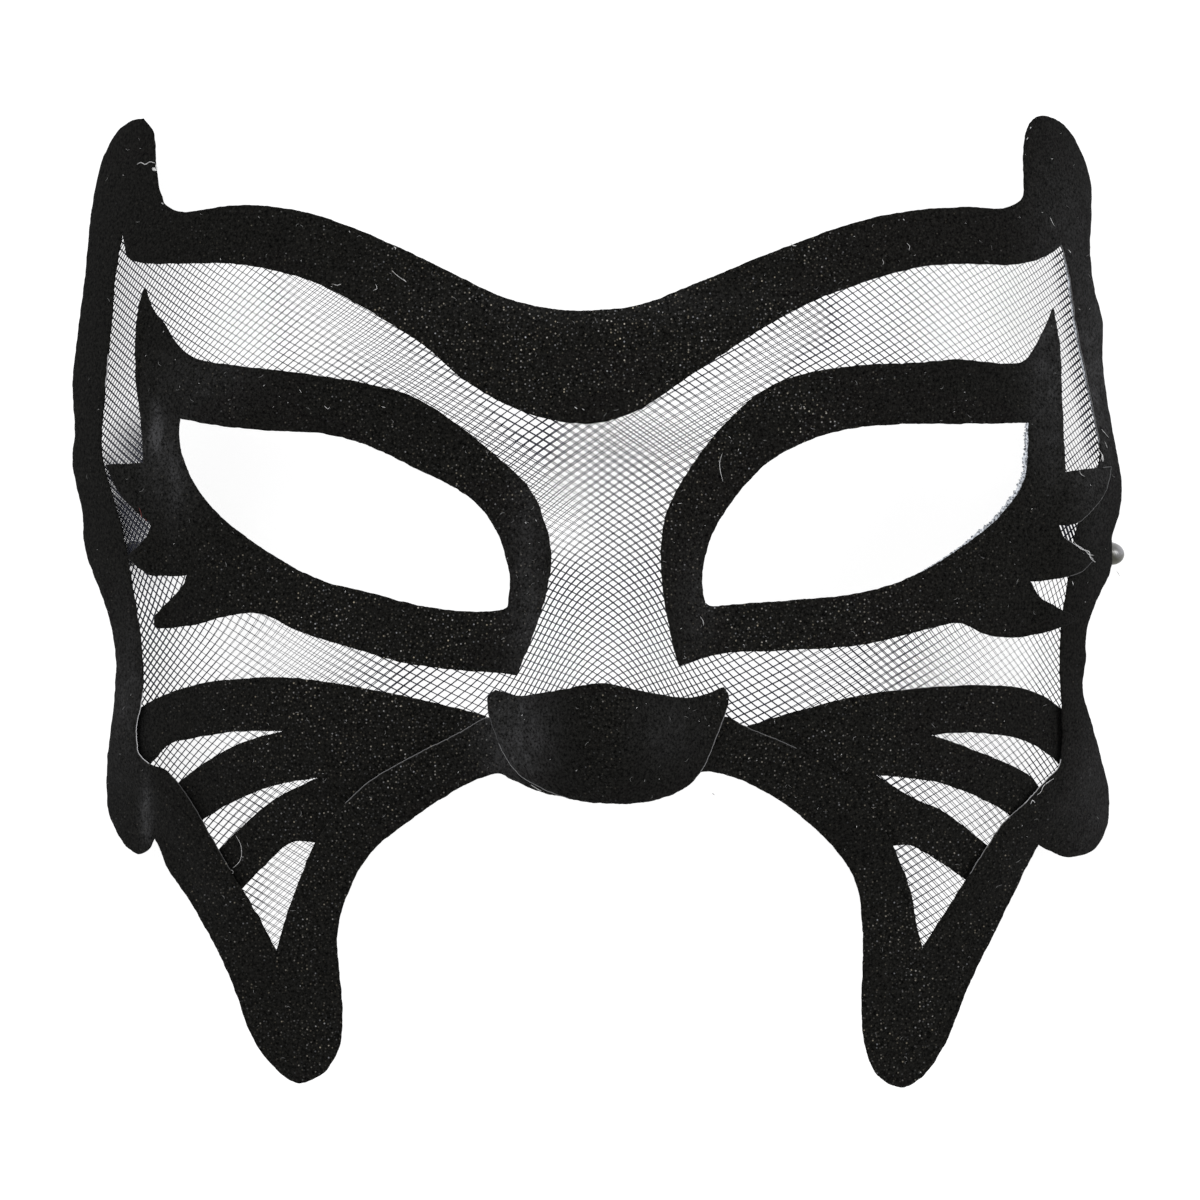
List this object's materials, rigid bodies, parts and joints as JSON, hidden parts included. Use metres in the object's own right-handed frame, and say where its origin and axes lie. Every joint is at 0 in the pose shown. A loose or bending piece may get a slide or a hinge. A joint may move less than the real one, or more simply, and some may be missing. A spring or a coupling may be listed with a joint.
{
  "type": "cat mask",
  "caption": "Half-face cat mask of stiff moulded black net with velvet ears, fangs, eye surrounds, whiskers and nose; it covers the face from brow to upper lip.",
  "frame": {"origin": "below the middle of the mask's bounding box, at the level of its lowest edge, as it lies on its back", "axes": "+X to the right as the mask's front is seen, +Y from the fangs to the ears, +Z out of the face, up as it lies"},
  "size_m": [0.1616, 0.1492, 0.0679],
  "materials": {
    "velvet": "flocked velvet",
    "net": "stiffened open net, woven diagonally",
    "cord_tip": "dull plated metal"
  },
  "bodies": {
    "root": {"net": "net", "border": "velvet", "eye_left": "velvet", "eye_right": "velvet", "whiskers_left": "velvet", "whiskers_right": "velvet", "nose": "velvet", "cord_tip_left": "cord_tip", "cord_tip_right": "cord_tip"}
  },
  "joints": []
}
